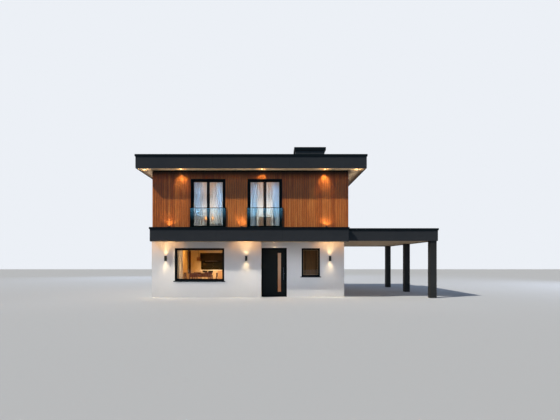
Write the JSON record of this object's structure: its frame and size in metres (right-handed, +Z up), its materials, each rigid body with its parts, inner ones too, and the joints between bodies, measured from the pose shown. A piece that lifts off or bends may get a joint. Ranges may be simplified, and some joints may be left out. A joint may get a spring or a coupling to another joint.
{
  "type": "two-storey detached house with attached carport",
  "caption": "Detached two-storey house, flat roof, white rendered ground floor, timber-clad upper storey, front canopy and attached carport.",
  "frame": {"origin": "ground level, in the plan centre of the ground floor, on the underside of its slab", "axes": "+X to the right along the front, -Y out of the front wall, +Z up"},
  "size_m": [13.274, 9.743, 7.433],
  "materials": {
    "concrete": "plain concrete and roof membrane",
    "render": "fine white render",
    "anthracite_sheet": "satin anthracite sheet",
    "black_sheet": "satin black folded sheet",
    "timber_cladding": "oiled upright boards",
    "soffit_board": "matt beige soffit board",
    "window_frame": "satin black",
    "door_leaf": "matt anthracite",
    "window_glass": "clear",
    "brushed_steel": "brushed",
    "blind_slats": "dark brown slats",
    "lamp_black": "satin black",
    "sheer_curtain": "sheer white",
    "furniture_wood": "brown oiled wood",
    "cabinet_dark": "dark oak veneer",
    "pendant_shade": "brown enamel",
    "lamp_shade": "warm linen shade, lit"
  },
  "bodies": {
    "house": {"ground_floor_slab": "concrete", "front_wall": "render", "entrance_side_wall": "render", "entrance_wall": "render", "door_lintel": "render", "left_wall": "render", "right_wall": "render", "rear_wall": "render", "upper_floor_slab": "concrete", "canopy": "anthracite_sheet", "canopy_coping": "black_sheet", "storey_belt": "anthracite_sheet", "upper_front_wall": "timber_cladding", "upper_left_wall": "timber_cladding", "upper_right_wall": "timber_cladding", "upper_rear_wall": "timber_cladding", "roof_slab": "concrete", "roof_soffit": "soffit_board", "roof_fascia": "anthracite_sheet", "roof_coping": "black_sheet", "chimney": "anthracite_sheet", "chimney_cap": "black_sheet", "carport_roof": "concrete", "lower_soffits": "soffit_board", "carport_fascia": "anthracite_sheet", "carport_coping": "black_sheet", "carport_columns": "anthracite_sheet", "door_frame": "window_frame", "wide_window_frames": "window_frame", "wide_window_glass": "window_glass", "small_window_frames": "window_frame", "small_window_glass": "window_glass", "window_blinds": "blind_slats", "window_sills": "black_sheet", "tall_window_frames": "window_frame", "tall_window_casements": "window_frame", "tall_window_glass": "window_glass", "guard_glass": "window_glass", "guard_channels": "window_frame", "wall_lamps": "lamp_black", "soffit_spots": "brushed_steel", "canopy_spots": "lamp_black", "curtains": "sheer_curtain", "curtain_rails": "brushed_steel", "dining_table": "furniture_wood", "dining_chairs": "furniture_wood", "kitchen_units": "cabinet_dark", "pendant_lamp": "pendant_shade", "upper_cabinets": "furniture_wood", "table_lamps": "lamp_shade"},
    "front_door": {"door_leaf": "door_leaf", "door_glass": "window_glass", "door_handle": "brushed_steel"}
  },
  "joints": [
    {"name": "front_door_hinge", "type": "hinge", "parent": "house", "child": "front_door", "pos_m": [0.6215, -3.614, 1.1], "axis": [0, 0, 1], "range_deg": [0, 90]}
  ]
}
